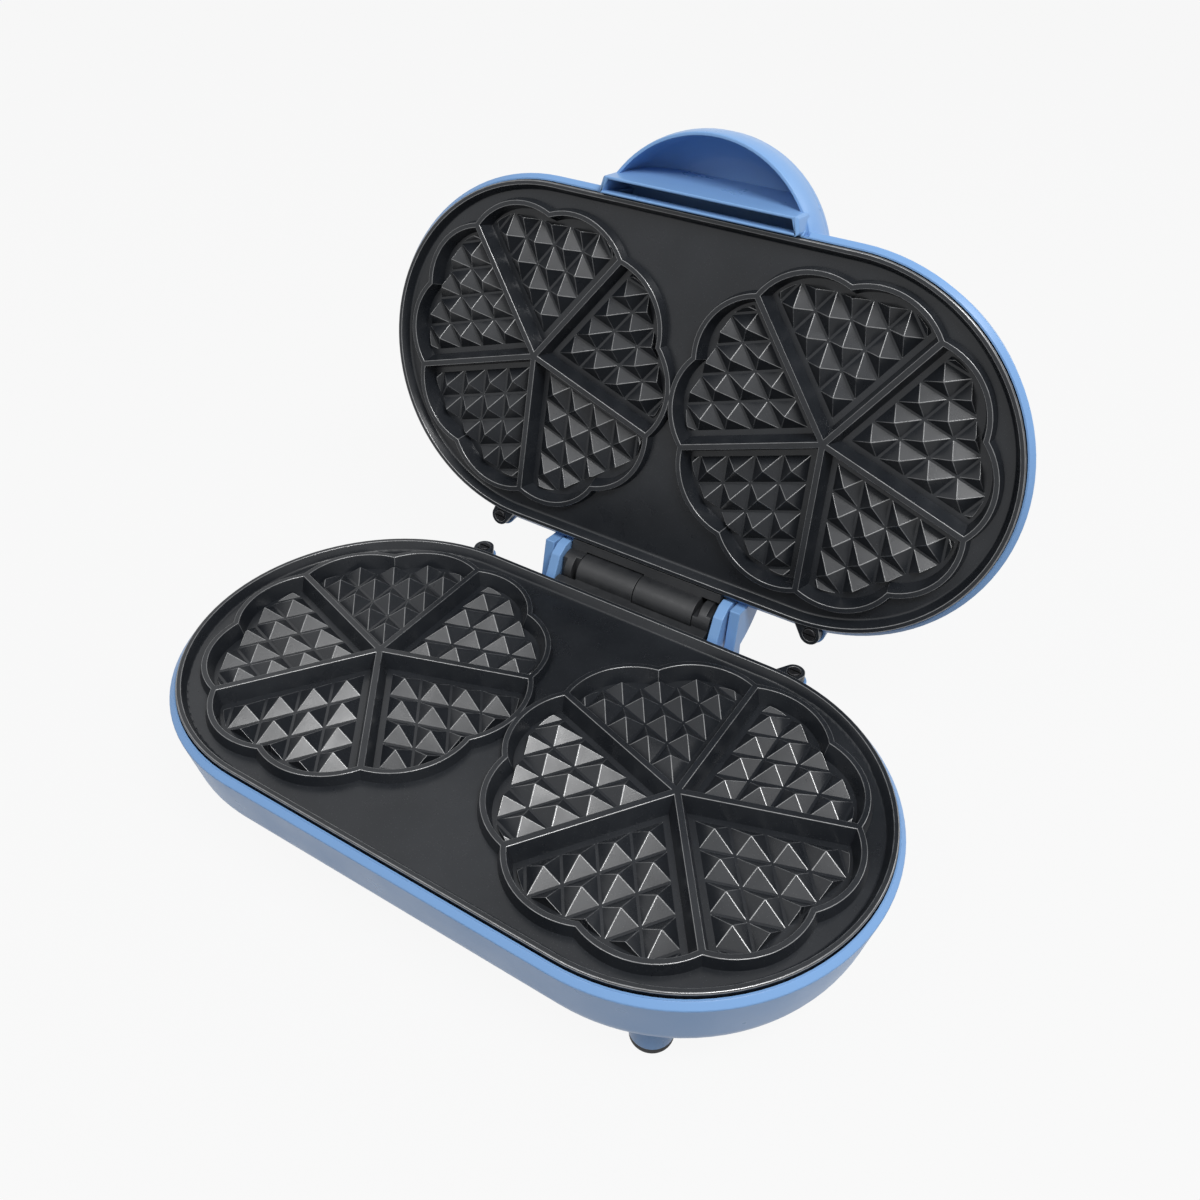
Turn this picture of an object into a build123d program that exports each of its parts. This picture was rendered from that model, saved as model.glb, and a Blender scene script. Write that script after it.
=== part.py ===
from build123d import *

import os
from math import cos, radians, sin, tan

os.makedirs("parts", exist_ok=True)

# Arrangement of the two halves. The origin is on the floor under the middle of
# the open maker, +X runs along the plates, +Y to the hinge and +Z up.
origin_back = 38.49
leg_rise = 14.0
hinge_offset = 11.5
open_angle = 101.0
plate_gap = 0.3
seat_gap = 0.3
fine_gap = 0.15

# Baking plate, a thin casting with a raised rim and two moulds of five hearts
plate_end_r = 74.6
plate_edge_bevel = 0.5
rim_top_width = 2.1
rim_slope = 28.0
land_depth = 4.0
land_wall = 2.5
land_fillet = 1.2
cavity_depth = 6.4
cavity_wall = 3.0
pad_inset = 6.6
heart_count = 5
mould_margin = 10.3
mould_gap = 3.8
lobe_r = 27.3
hub_overlap = 6.3
ridge_top_width = 2.0
ridge_draft = 13.0
mould_draft = 17.0
rib_top_width = 2.4

# Pyramids on the floor of each heart, in rows along its two ribs
pyramid_pitch = 12.2
pyramid_start = 5.2
pyramid_rows = 5
pyramid_height = 4.2
pyramid_strip = 1.0
pyramid_wall_gap = 1.2

# Screw lugs at the back of a plate
lug_side = 8.8
lug_overhang = 2.7
lug_r = 4.25
lug_top = 0.95
lug_bottom = 4.8
lug_recess_r = 2.8
lug_recess_depth = 1.3
lug_clearance = 0.4
lug_boss_r = 5.2
lug_boss_length = 13.0
lug_screw_length = 10.5

# Housings
rim_depth = 2.2
rim_clearance = 0.1
rim_edge = 0.3
band_width = 2.0
wall_draft = 15.6
shell_wall = 2.75
floor_wall = 2.5
base_depth = 32.0
lid_depth = 34.0
outer_round = 14.0
inner_round = 11.5

# Hooks that hold the front of a plate in its housing
hook_x = 45.0
hook_width = 9.0
hook_thickness = 3.0
hook_length = 6.5
hook_lip = 3.0
hook_lip_height = 2.0
hook_inset = 6.5

# Hinge
barrel_r = 7.2
barrel_clearance = 0.4
knuckle_inner = 28.0
knuckle_outer = 36.0
knuckle_gap = 0.3
pin_r = 2.5
pin_fit = 0.05
pin_end_gap = 1.0
pin_chamfer = 0.4
block_depth = 14.0
block_top = 1.0
block_back = 4.0
clip_notch_width = 2.4
clip_notch_floor = 3.6
clip_step_width = 2.0
clip_step_floor = 5.0
block_screw_x = 18.0
block_screw_depth = 9.4
block_screw_length = 8.0
cheek_thickness = 4.5
cheek_gap = 1.0
ear_gap = 1.0
ear_thickness = 4.5
ear_drop = 3.6

# Side outlines of a cheek and an ear, measured from the hinge axis
cheek_nose_front = 5.5
cheek_nose_height = 6.5
cheek_brow_front = 1.0
cheek_brow_height = 9.3
cheek_crest_back = 3.0
cheek_crest_height = 9.8
cheek_dip_back = 5.4
cheek_dip_height = 8.0
cheek_heel_back = 12.0
cheek_heel_height = 8.6
ear_front = 9.0
ear_back = 9.5
ear_lip_depth = -1.5
ear_middle_back = 3.5
ear_middle_depth = 9.5
ear_root_depth = 20.0
ear_root_stand = 4.4
ear_root_sink = 0.6

# Rear tower and legs of the base
tower_wall = 3.0
tower_back = 14.5
tower_room_inset = 15.0
tower_room_lip = 1.0
leg_side = 21.8
leg_inset = 24.0
leg_foot_r = 7.5
leg_top_r = 8.5
pad_height = 2.5
pad_chamfer = 0.6
pad_stud_r = 2.5
pad_stud_length = 6.0
rear_pad_x = 29.0

# Handle on the lid
handle_r = 48.5
handle_belly = 1.2
handle_set_back = 25.3
handle_edge_depth = 6.7
handle_step = 0.5
handle_side_height = 12.5
handle_round = 11.5
handle_wall = 1.6
box_half_width = 43.5
box_end_slant = 2.0
box_end_round = 1.5
box_lap = 0.1
box_overhang = 7.0
box_draft = 2.6
box_rim_depth = -1.8
box_floor = 2.4
slot_half_width = 41.5
slot_lip = 1.1
slot_width = 4.8
slot_frame = 5.0
slot_room_back = 8.0
slot_depth = 20.0
rim_notch = 2.0

# Heating element, its clips and the reflector under it
heater_r = 3.25
heater_inset = 23.0
heater_depth = 11.2
heater_gap_half = 18.0
heater_bend_r = 6.0
heater_end_depth = 21.0
heater_pin_r = 1.2
heater_pin_length = 5.0
heater_clearance = 0.3
boss_r = 4.0
boss_offset = 8.5
clip_width = 9.0
clip_thickness = 1.2
screw_r = 1.5
screw_clearance = 0.2
thread_fit = 0.05
screw_head_r = 2.6
screw_head_height = 1.8
screw_head_round = 0.6
screw_slot_width = 0.75
clip_screw_length = 5.0
post_x = 44.0
post_y = 22.0
post_depth = 19.0
reflector_margin = 15.0
reflector_sheet = 0.8
reflector_rim = 5.0
terminal_hole_r = 5.5
thermostat_r = 8.0
thermostat_height = 6.5
thermostat_hole_r = 9.5
thermostat_tab_height = 7.0
thermostat_boss_x = 13.0
thermostat_flange_depth = 13.4
thermostat_flange = 1.0
tab_offset = 3.0
tab_width = 6.3
tab_sheet = 0.8

# Electrical pieces in the tower and the lid
gland_bore_r = 3.6
gland_r = 5.5
gland_flange_r = 7.5
gland_flange = 1.5
gland_nut_height = 3.0
gland_rise = 10.5
clamp_back = 3.5
clamp_pillar_x = 8.5
clamp_width = 24.0
clamp_depth = 8.0
clamp_height = 2.5
clamp_round = 1.25
clamp_pillar_r = 3.2
clamp_pillar_height = 13.5
clamp_screw_length = 7.0
block_poles = 3
block_pole_pitch = 8.0
terminal_block_depth = 10.0
terminal_block_height = 9.0
terminal_block_front = 6.0
terminal_foot_height = 3.0
terminal_foot_length = 6.0
terminal_screw_length = 3.0
terminal_bore_r = 1.8
fuse_r = 2.0
fuse_length = 12.0
fuse_chamfer = 0.7
lead_r = 1.1
lead_bend = 4.0
lead_bend_share = 0.45
lamp_x = 9.0
lamp_inset = 35.0
lamp_r = 2.5
lamp_length = 9.0
lamp_round = 2.0
holder_drop = 9.0
holder_height = 3.0
holder_width = 34.0
holder_length = 10.0
holder_screw_length = 6.5
lens_r = 4.0
lens_rise = 1.5
lens_round = 1.35
lens_flange_r = 5.5

# Depths and radii that follow from the values above
lobe_centre_r = plate_end_r - mould_margin - lobe_r
hub_r = lobe_centre_r - lobe_r + hub_overlap
mould_spacing = 2 * (lobe_centre_r + lobe_r) + mould_gap
mould_x = mould_spacing / 2
pad_end_r = plate_end_r - pad_inset
rim_inner_r = plate_end_r + rim_clearance
rim_outer_r = rim_inner_r + rim_edge
hinge_back = rim_outer_r + hinge_offset
parting_height = base_depth + leg_rise
lug_x = mould_x + lug_side
lug_back = plate_end_r + lug_overhang
heater_loop_r = pad_end_r - heater_inset
reflector_end_r = heater_loop_r + reflector_margin
box_back = rim_outer_r - box_lap
box_front = rim_outer_r + box_overhang
slot_back = box_back + slot_lip
slot_front = slot_back + slot_width
box_depth = slot_depth + box_floor
handle_centre_front = box_front - handle_set_back
handle_top_depth = lid_depth - handle_step
handle_shoulder_depth = handle_top_depth - handle_side_height
leg_x = mould_x + leg_side
leg_front = rim_outer_r - leg_inset
tower_room_front = rim_outer_r - tower_room_inset
tower_room_depth = base_depth - floor_wall - tower_room_lip
lamp_front = rim_outer_r - lamp_inset
holder_depth = lid_depth - holder_drop
hook_front = plate_end_r - hook_inset
arc_middle = 1 - cos(radians(45))
plate_top = plate_gap / 2
land_bottom = land_depth + land_wall
pad_bottom = cavity_depth + cavity_wall
boss_top = heater_depth + heater_r + heater_clearance
band_depth = rim_depth + band_width
band_r = rim_outer_r + band_width
block_front = hinge_back - band_r - seat_gap
draft = tan(radians(wall_draft))
ear_wall = band_r - (ear_root_depth - band_depth) * draft
lobe_pitch = 180 / heart_count
cheek_inner = knuckle_outer + cheek_gap
cheek_outer = cheek_inner + cheek_thickness
ear_inner = cheek_outer + ear_gap
tower_top = block_depth + seat_gap
foot_depth = parting_height - pad_height
tower_floor = foot_depth - tower_wall
gland_depth = tower_floor - gland_rise
clamp_pillar_top = tower_floor - clamp_pillar_height
gland_spot = (0, -(hinge_back + tower_back), gland_depth)
clamp_spots = (
    (-clamp_pillar_x, -(hinge_back + clamp_back), clamp_pillar_top),
    (clamp_pillar_x, -(hinge_back + clamp_back), clamp_pillar_top),
)
block_y = -(hinge_back - terminal_block_front)
block_foot_x = (block_poles * block_pole_pitch + terminal_foot_length) / 2
block_foot_spots = ((-block_foot_x, block_y, tower_floor), (block_foot_x, block_y, tower_floor))
pad_spots = (
    (-leg_x, leg_front, foot_depth),
    (leg_x, leg_front, foot_depth),
    (-rear_pad_x, -(hinge_back + tower_back / 3), foot_depth),
    (rear_pad_x, -(hinge_back + tower_back / 3), foot_depth),
)
tool_rise = 0.5

# Each half is drawn in moulding coordinates: x along the plates, y to the front
# and z the depth from the parting plane. These planes put it in its place.
base_face = Plane(origin=(0, -origin_back, parting_height), x_dir=(1, 0, 0), z_dir=(0, 0, -1))
swing_cos = cos(radians(open_angle))
swing_sin = sin(radians(open_angle))
lid_face = Plane(
    origin=(
        0,
        hinge_back * (1 - swing_cos) - origin_back,
        parting_height + hinge_back * swing_sin,
    ),
    x_dir=(-1, 0, 0),
    z_dir=(0, swing_sin, swing_cos),
)


def beside_hinge(back, depth):
    """Point of a side profile, measured back from the hinge axis."""
    return (-(hinge_back + back), depth)


def stadium(end_r, depth):
    """Stadium outline about the two mould centres, at a depth."""
    with BuildSketch(Plane.XY.offset(depth)) as outline:
        SlotCenterToCenter(mould_spacing, 2 * end_r)
    return outline.sketch


def bowl(end_r, top, bottom, round_r):
    """Drafted stadium bowl with a rounded bottom edge."""
    with BuildPart() as body:
        extrude(stadium(end_r, top), amount=bottom - top, taper=wall_draft)
        fillet(body.faces().sort_by(Axis.Z)[-1].edges(), round_r)
    return body.part


def pan_head_screw(length):
    """Screw with its head below z = 0 and its shank up along -z."""
    with BuildPart() as screw:
        Cylinder(screw_head_r, screw_head_height, align=(Align.CENTER, Align.CENTER, Align.MIN))
        fillet(screw.faces().sort_by(Axis.Z)[-1].edges(), screw_head_round)
        Cylinder(screw_r, length, align=(Align.CENTER, Align.CENTER, Align.MAX))
        with Locations((0, 0, screw_head_height)):
            Box(2 * screw_head_r, screw_slot_width, screw_head_height, mode=Mode.SUBTRACT)
    return screw.part


# Pyramids: ridges along one rib of a heart, crossed with their mirror image
with BuildPart() as pyramid_field:
    rib_angle = radians(lobe_pitch)
    along_rib = Vector(cos(rib_angle), -sin(rib_angle), 0)
    across_rib = Vector(sin(rib_angle), cos(rib_angle), 0)
    row_scale = sin(2 * rib_angle)
    with BuildSketch(Plane(origin=(0, 0, 0), x_dir=across_rib, z_dir=along_rib)):
        for row in range(pyramid_rows):
            near = (pyramid_start + pyramid_pitch * row) * row_scale + pyramid_strip / 2
            far = (pyramid_start + pyramid_pitch * (row + 1)) * row_scale - pyramid_strip / 2
            with BuildLine():
                Polyline(
                    (near, cavity_depth),
                    ((near + far) / 2, cavity_depth - pyramid_height),
                    (far, cavity_depth),
                    (far, cavity_depth + tool_rise),
                    (near, cavity_depth + tool_rise),
                    close=True,
                )
            make_face()
    extrude(amount=lobe_centre_r + lobe_r + pyramid_pitch)
    mirror(about=Plane.XZ, mode=Mode.INTERSECT)
    with BuildSketch(Plane.XY) as pyramid_limit:
        clip_r = lobe_r - (cavity_depth - plate_top) * tan(radians(mould_draft)) - pyramid_wall_gap
        with PolarLocations(lobe_centre_r, 2, -lobe_pitch / 2, lobe_pitch, endpoint=True):
            Circle(clip_r)
        Circle(hub_r)
        last_row = (2 * pyramid_start + pyramid_rows * pyramid_pitch - pyramid_strip) * cos(rib_angle)
        with Locations((last_row, 0)):
            Rectangle(
                2 * lobe_r, 4 * lobe_r, align=(Align.MIN, Align.CENTER), mode=Mode.SUBTRACT
            )
    extrude(amount=2 * cavity_depth, mode=Mode.INTERSECT)

# One heart-shaped cavity, along +X from the hub of its mould, as a solid to cut with
with BuildPart() as heart_cavity:
    cut_depth = cavity_depth - plate_top + tool_rise
    mould_slope = tan(radians(mould_draft))
    with Locations((0, 0, plate_top - tool_rise)):
        with PolarLocations(lobe_centre_r, 2, -lobe_pitch / 2, lobe_pitch, endpoint=True):
            Cone(
                lobe_r + tool_rise * mould_slope,
                lobe_r + (tool_rise - cut_depth) * mould_slope,
                cut_depth,
                align=(Align.CENTER, Align.CENTER, Align.MIN),
            )
        Cylinder(hub_r, cut_depth, align=(Align.CENTER, Align.CENTER, Align.MIN))
    with BuildSketch(Plane.XY.offset(plate_top - tool_rise)):
        rib_half = rib_top_width / 2 - tool_rise * mould_slope
        tip = rib_half / sin(rib_angle)
        reach = 3 * lobe_centre_r
        with BuildLine():
            Polyline(
                (tip, 0),
                (tip + reach * cos(rib_angle), -reach * sin(rib_angle)),
                (tip + reach * cos(rib_angle), reach * sin(rib_angle)),
                close=True,
            )
        make_face()
    extrude(amount=cut_depth, taper=mould_draft, mode=Mode.INTERSECT)
    add(pyramid_field.part, mode=Mode.SUBTRACT)

# Baking plate
with BuildPart() as plate_casting:
    extrude(stadium(plate_end_r, plate_top), amount=land_bottom - plate_top, taper=wall_draft)
    chamfer(plate_casting.faces().sort_by(Axis.Z)[0].edges(), plate_edge_bevel)
    extrude(stadium(pad_end_r, land_depth), amount=pad_bottom - land_depth, taper=wall_draft)
    pocket_r = plate_end_r - rim_top_width
    extrude(
        stadium(pocket_r, plate_top),
        amount=land_depth - plate_top,
        taper=rim_slope,
        mode=Mode.SUBTRACT,
    )
    land_edges = plate_casting.edges().filter_by_position(
        Axis.Z, land_depth - fine_gap, land_depth + fine_gap
    )
    fillet(land_edges, land_fillet)
    ridge_height = land_depth - plate_top + tool_rise
    with Locations((0, 0, plate_top)):
        with GridLocations(mould_spacing, 1, 2, 1):
            with PolarLocations(lobe_centre_r, 2 * heart_count):
                Cone(
                    lobe_r + ridge_top_width,
                    lobe_r + ridge_top_width + ridge_height * tan(radians(ridge_draft)),
                    ridge_height,
                    align=(Align.CENTER, Align.CENTER, Align.MIN),
                )
            Cylinder(hub_r, ridge_height, align=(Align.CENTER, Align.CENTER, Align.MIN))
    with GridLocations(mould_spacing, 1, 2, 1):
        with PolarLocations(0, heart_count, -90 + lobe_pitch):
            add(heart_cavity.part, mode=Mode.SUBTRACT)
    # Lugs with their necks
    for side in (-1, 1):
        with BuildSketch(Plane.XY.offset(lug_top)):
            with Locations((side * lug_x, -lug_back)):
                Circle(lug_r)
            with Locations((side * (lug_x - lug_r), -(lug_back - 2 * lug_r))):
                Circle(lug_r + rim_top_width / 2)
            make_hull()
            add(stadium(pocket_r, 0), mode=Mode.SUBTRACT)
        extrude(amount=lug_bottom - lug_top)
    with Locations((-lug_x, -lug_back, lug_top), (lug_x, -lug_back, lug_top)):
        Cylinder(
            lug_recess_r,
            lug_recess_depth,
            align=(Align.CENTER, Align.CENTER, Align.MIN),
            mode=Mode.SUBTRACT,
        )
        Cylinder(
            screw_r + screw_clearance,
            lug_bottom,
            align=(Align.CENTER, Align.CENTER, Align.MIN),
            mode=Mode.SUBTRACT,
        )
    # Groove for the heating element
    with BuildSketch(Plane.YZ):
        with Locations((heater_loop_r, heater_depth)):
            Circle(heater_r + heater_clearance)
    with BuildLine(Plane.XY.offset(heater_depth)) as groove_path:
        Line((0, heater_loop_r), (mould_x, heater_loop_r))
        ThreePointArc((mould_x, heater_loop_r), (mould_x + heater_loop_r, 0), (mould_x, -heater_loop_r))
        Line((mould_x, -heater_loop_r), (-mould_x, -heater_loop_r))
        ThreePointArc((-mould_x, -heater_loop_r), (-mould_x - heater_loop_r, 0), (-mould_x, heater_loop_r))
        Line((-mould_x, heater_loop_r), (0, heater_loop_r))
    sweep(path=groove_path.line, mode=Mode.SUBTRACT)
    # Bosses beside the element and posts for the reflector
    clip_spots = (
        Location((mould_x, heater_loop_r, 0)),
        Location((-mould_x, heater_loop_r, 0)),
        Location((mould_x, -heater_loop_r, 0)),
        Location((-mould_x, -heater_loop_r, 0)),
        Location((mould_x + heater_loop_r, 0, 0), (0, 0, 90)),
        Location((-mould_x - heater_loop_r, 0, 0), (0, 0, 90)),
    )
    with Locations(clip_spots):
        with Locations((0, -boss_offset, land_bottom), (0, boss_offset, land_bottom)):
            Cylinder(
                boss_r, boss_top - land_bottom, align=(Align.CENTER, Align.CENTER, Align.MIN)
            )
    with Locations(clip_spots):
        with Locations((0, -boss_offset, boss_top), (0, boss_offset, boss_top)):
            Cylinder(
                screw_r + thread_fit,
                clip_screw_length + fine_gap,
                align=(Align.CENTER, Align.CENTER, Align.MAX),
                mode=Mode.SUBTRACT,
            )
    with Locations((0, 0, land_bottom)):
        with GridLocations(2 * post_x, 2 * post_y, 2, 2):
            Cylinder(
                boss_r, post_depth - land_bottom, align=(Align.CENTER, Align.CENTER, Align.MIN)
            )
    with Locations((0, 0, post_depth)):
        with GridLocations(2 * post_x, 2 * post_y, 2, 2):
            Cylinder(
                screw_r + thread_fit,
                clip_screw_length + fine_gap,
                align=(Align.CENTER, Align.CENTER, Align.MAX),
                mode=Mode.SUBTRACT,
            )
    # Front hooks
    with Locations((-hook_x, hook_front, land_bottom), (hook_x, hook_front, land_bottom)):
        Box(
            hook_width,
            hook_thickness,
            hook_length,
            align=(Align.CENTER, Align.MAX, Align.MIN),
        )
    hook_end = land_bottom + hook_length
    with Locations((-hook_x, hook_front, hook_end), (hook_x, hook_front, hook_end)):
        Box(
            hook_width,
            hook_thickness + hook_lip,
            hook_lip_height,
            align=(Align.CENTER, Align.CENTER, Align.MAX),
        )
    # Bosses for the flange of the thermostat
    for side in (-1, 1):
        with Locations((side * thermostat_boss_x, 0, land_bottom)):
            Cylinder(
                boss_r,
                thermostat_flange_depth - land_bottom,
                align=(Align.CENTER, Align.CENTER, Align.MIN),
            )
        with Locations((side * thermostat_boss_x, 0, thermostat_flange_depth)):
            Cylinder(
                screw_r + thread_fit,
                clip_screw_length + fine_gap,
                align=(Align.CENTER, Align.CENTER, Align.MAX),
                mode=Mode.SUBTRACT,
            )

with BuildPart(base_face) as lower_plate:
    add(plate_casting.part)
lower_plate.part.label = "lower_plate"
export_step(lower_plate.part, "parts/lower_plate.step")

with BuildPart(lid_face) as upper_plate:
    add(plate_casting.part)
upper_plate.part.label = "upper_plate"
export_step(upper_plate.part, "parts/upper_plate.step")


# Hinge block, the same moulding on both halves: a barrel on one side, an end clip
# on the other, and scoops where the other block's knuckles turn
screw_slope = radians(wall_draft)
block_screw_spots = [
    Plane(
        origin=(
            side * block_screw_x,
            -(rim_inner_r - (block_screw_depth - rim_depth) * draft),
            block_screw_depth,
        ),
        x_dir=(1, 0, 0),
        z_dir=(0, cos(screw_slope), -sin(screw_slope)),
    )
    for side in (-1, 1)
]
with BuildPart() as hinge_block:
    with BuildSketch(Plane.YZ.offset(-knuckle_outer)):
        with BuildLine():
            Polyline(
                (-rim_outer_r, block_top),
                (-rim_outer_r, rim_depth - seat_gap),
                beside_hinge(-block_front, band_depth),
                beside_hinge(-block_front - (block_depth - band_depth) * draft, block_depth),
                beside_hinge(-block_top, block_depth),
                beside_hinge(block_back, barrel_r),
                beside_hinge(0, 0),
                close=True,
            )
        make_face()
    extrude(amount=2 * knuckle_outer)
    scoops = (
        (-knuckle_outer - knuckle_gap, -knuckle_inner + knuckle_gap / 2),
        (-knuckle_gap / 2, knuckle_inner + knuckle_gap / 2),
    )
    for start, end in scoops:
        with BuildSketch(Plane.YZ.offset(start)):
            with Locations(beside_hinge(0, 0)):
                Circle(barrel_r + barrel_clearance)
        extrude(amount=end - start, mode=Mode.SUBTRACT)
    knuckles = (
        (-knuckle_inner + knuckle_gap / 2, -knuckle_gap / 2),
        (knuckle_inner + knuckle_gap / 2, knuckle_outer),
    )
    for start, end in knuckles:
        with BuildSketch(Plane.YZ.offset(start)):
            with Locations(beside_hinge(0, 0)):
                Circle(barrel_r)
        extrude(amount=end - start)
    # Notches in the end clip, where it snaps over the pin
    notches = (
        (knuckle_inner, clip_notch_width, clip_notch_floor),
        (knuckle_outer - clip_step_width, 2 * clip_step_width, clip_step_floor),
    )
    for start, width, notch_floor in notches:
        with Locations((start, -hinge_back, -notch_floor)):
            Box(
                width,
                2 * barrel_r,
                barrel_r,
                align=(Align.MIN, Align.CENTER, Align.MAX),
                mode=Mode.SUBTRACT,
            )
    with BuildSketch(Plane.YZ.offset(-knuckle_outer - knuckle_gap)):
        with Locations(beside_hinge(0, 0)):
            Circle(pin_r + pin_fit)
    extrude(amount=2 * (knuckle_outer + knuckle_gap), mode=Mode.SUBTRACT)
    with Locations(*block_screw_spots):
        Cylinder(
            screw_r + thread_fit,
            block_screw_length + fine_gap,
            align=(Align.CENTER, Align.CENTER, Align.MAX),
            mode=Mode.SUBTRACT,
        )

with BuildPart(base_face) as hinge_block_base:
    add(hinge_block.part)
hinge_block_base.part.label = "hinge_block_base"
export_step(hinge_block_base.part, "parts/hinge_block_base.step")

with BuildPart(lid_face) as hinge_block_lid:
    add(hinge_block.part)
hinge_block_lid.part.label = "hinge_block_lid"
export_step(hinge_block_lid.part, "parts/hinge_block_lid.step")

with BuildPart() as hinge_pin:
    with BuildSketch(Plane.YZ.offset(-knuckle_outer + pin_end_gap)):
        with Locations((hinge_back - origin_back, parting_height)):
            Circle(pin_r)
    extrude(amount=2 * (knuckle_outer - pin_end_gap))
    chamfer(hinge_pin.edges().filter_by(GeomType.CIRCLE), pin_chamfer)
hinge_pin.part.label = "hinge_pin"
export_step(hinge_pin.part, "parts/hinge_pin.step")

block_screw = pan_head_screw(block_screw_length)
with BuildPart() as block_screws:
    with Locations(*block_screw_spots):
        add(block_screw)

with BuildPart(base_face) as hinge_screws_base:
    add(block_screws.part)
hinge_screws_base.part.label = "hinge_screws_base"
export_step(hinge_screws_base.part, "parts/hinge_screws_base.step")

with BuildPart(lid_face) as hinge_screws_lid:
    add(block_screws.part)
hinge_screws_lid.part.label = "hinge_screws_lid"
export_step(hinge_screws_lid.part, "parts/hinge_screws_lid.step")


# Features that both housings share
ledge_top = land_bottom + seat_gap
ledge_bottom = land_bottom + hook_length - hook_lip_height - seat_gap


def housing_outside(depth):
    """Bowl of a housing with its bevelled band and the bosses for the lugs."""
    add(bowl(band_r, band_depth, depth, outer_round))
    extrude(stadium(rim_outer_r, rim_depth), amount=band_width, taper=-45)
    with BuildSketch(Plane.XY.offset(lug_bottom)) as lug_bosses:
        with Locations((-lug_x, -lug_back), (lug_x, -lug_back)):
            Circle(lug_boss_r)
    slope = (0, sin(screw_slope), cos(screw_slope))
    extrude(lug_bosses.sketch, amount=lug_boss_length, dir=slope)


def housing_inside(depth):
    """Hollow of a housing, with the lug notches, screw holes and hook ledges."""
    inner_r = rim_inner_r + tool_rise * draft
    add(bowl(inner_r, rim_depth - tool_rise, depth - floor_wall, inner_round), mode=Mode.SUBTRACT)
    for side in (-1, 1):
        with BuildSketch(Plane.XY.offset(rim_depth - tool_rise)) as lug_notch:
            with Locations((side * lug_x, -lug_back)):
                Circle(lug_r + lug_clearance)
            with Locations((side * (lug_x - lug_r), -(lug_back - 2 * lug_r))):
                Circle(lug_r + rim_top_width / 2 + lug_clearance)
            make_hull()
        notch_depth = lug_bottom - rim_depth + tool_rise
        extrude(lug_notch.sketch, amount=notch_depth, mode=Mode.SUBTRACT)
    with Locations((-lug_x, -lug_back, lug_bottom), (lug_x, -lug_back, lug_bottom)):
        Cylinder(
            screw_r + thread_fit,
            lug_screw_length,
            align=(Align.CENTER, Align.CENTER, Align.MIN),
            mode=Mode.SUBTRACT,
        )
    with Locations(*block_screw_spots):
        Cylinder(
            screw_r + screw_clearance,
            3 * shell_wall,
            mode=Mode.SUBTRACT,
        )
    with Locations(
        (-hook_x, hook_front + seat_gap, ledge_top),
        (hook_x, hook_front + seat_gap, ledge_top),
    ):
        Box(
            hook_width,
            rim_inner_r - hook_front - shell_wall / 2,
            ledge_bottom - ledge_top,
            align=(Align.CENTER, Align.MIN, Align.MIN),
        )


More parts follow.
